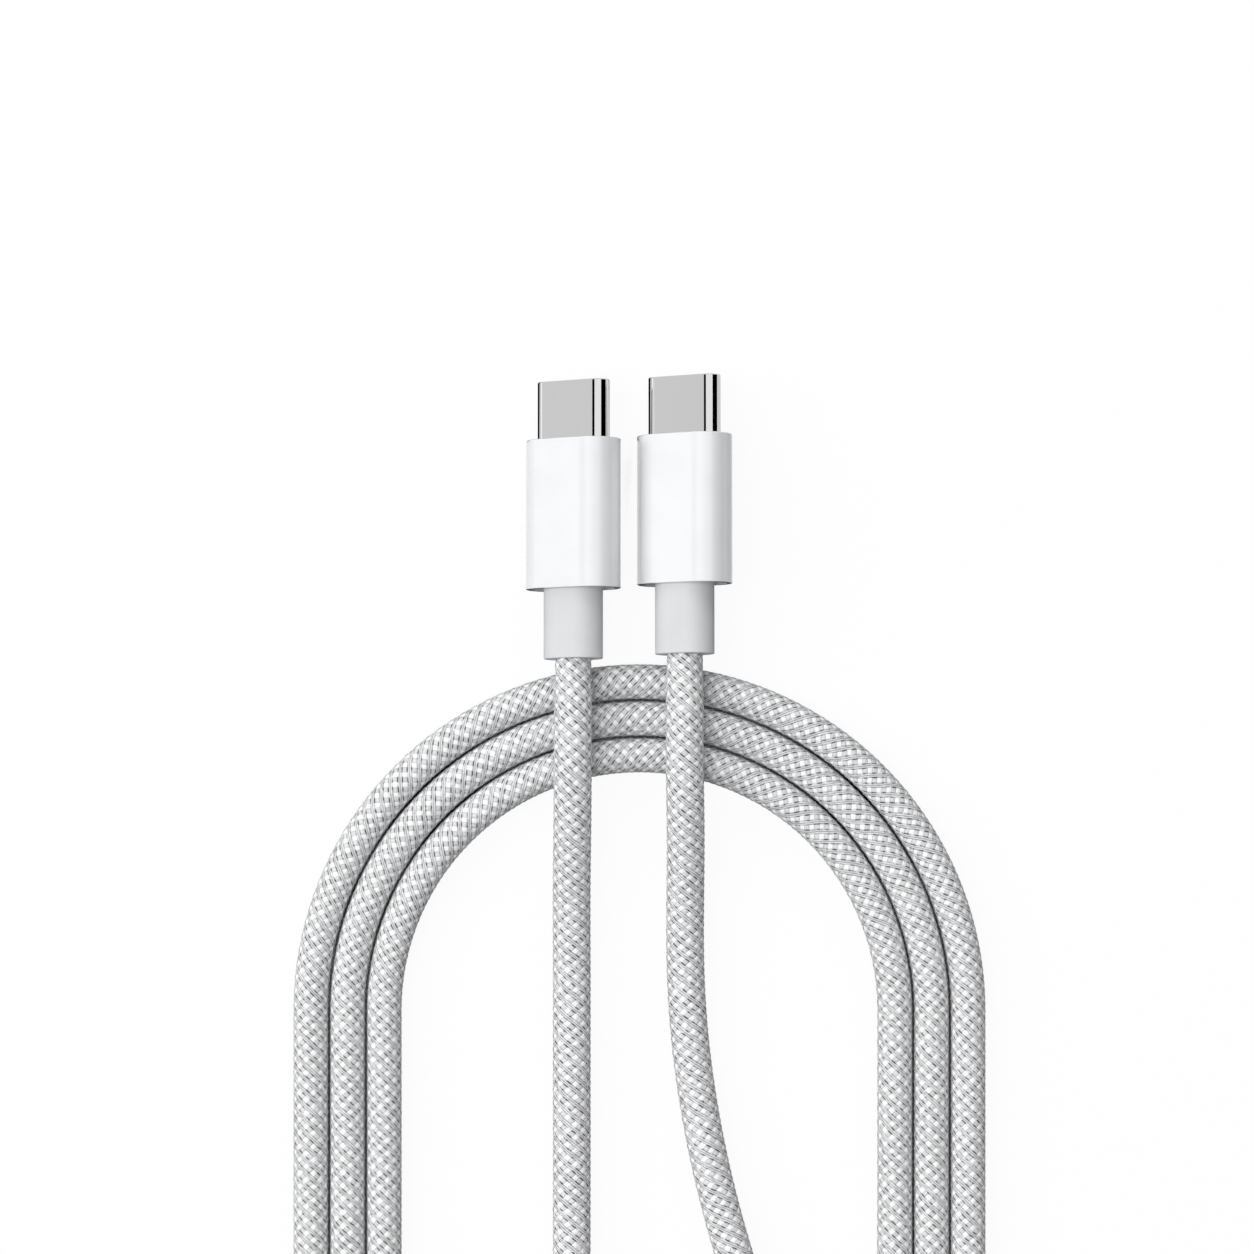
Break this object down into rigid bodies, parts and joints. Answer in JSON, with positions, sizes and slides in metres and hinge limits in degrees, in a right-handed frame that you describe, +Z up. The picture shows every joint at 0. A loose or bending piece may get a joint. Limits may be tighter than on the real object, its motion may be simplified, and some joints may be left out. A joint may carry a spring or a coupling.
{
  "type": "charging cable",
  "caption": "Braided USB-C to USB-C charging cable, coiled flat in a long oval, with slim white plugs lying side by side across the top of the coil.",
  "frame": {"origin": "on the table, midway between the two plugs' outer ends and midway between their sides", "axes": "+Y along the plugs towards their tips, +Z up from the table, +X towards plug b"},
  "size_m": [0.0722, 0.1325, 0.0092],
  "materials": {
    "shell_nickel": "polished",
    "carrier_black": "satin",
    "contact_gold": "polished",
    "spring_steel": "satin",
    "card_green": "satin",
    "chip_black": "matte",
    "capacitor_tan": "satin",
    "wire_red": "satin",
    "wire_white": "satin",
    "can_tin": "satin",
    "jacket_white": "satin",
    "mould_white": "satin",
    "housing_white": "gloss",
    "collar_white": "satin",
    "braid_grey": "satin"
  },
  "bodies": {
    "root": {"shell_a": "shell_nickel", "contact_carrier_a": "carrier_black", "upper_contacts_a": "contact_gold", "lower_contacts_a": "contact_gold", "latch_plate_a": "spring_steel", "ground_springs_a": "spring_steel", "paddle_card_a": "card_green", "marker_chip_a": "chip_black", "capacitors_a": "capacitor_tan", "power_wires_a": "wire_red", "signal_wires_a": "wire_white", "shield_can_a": "can_tin", "crimp_ring_a": "can_tin", "jacket_end_a": "jacket_white", "inner_mould_a": "mould_white", "housing_a": "housing_white", "strain_relief_a": "collar_white", "shell_b": "shell_nickel", "contact_carrier_b": "carrier_black", "upper_contacts_b": "contact_gold", "lower_contacts_b": "contact_gold", "latch_plate_b": "spring_steel", "ground_springs_b": "spring_steel", "paddle_card_b": "card_green", "capacitors_b": "capacitor_tan", "power_wires_b": "wire_red", "signal_wires_b": "wire_white", "shield_can_b": "can_tin", "crimp_ring_b": "can_tin", "jacket_end_b": "jacket_white", "inner_mould_b": "mould_white", "housing_b": "housing_white", "strain_relief_b": "collar_white", "cord_a": "braid_grey", "coil": "braid_grey", "cord_b": "braid_grey"}
  },
  "joints": []
}
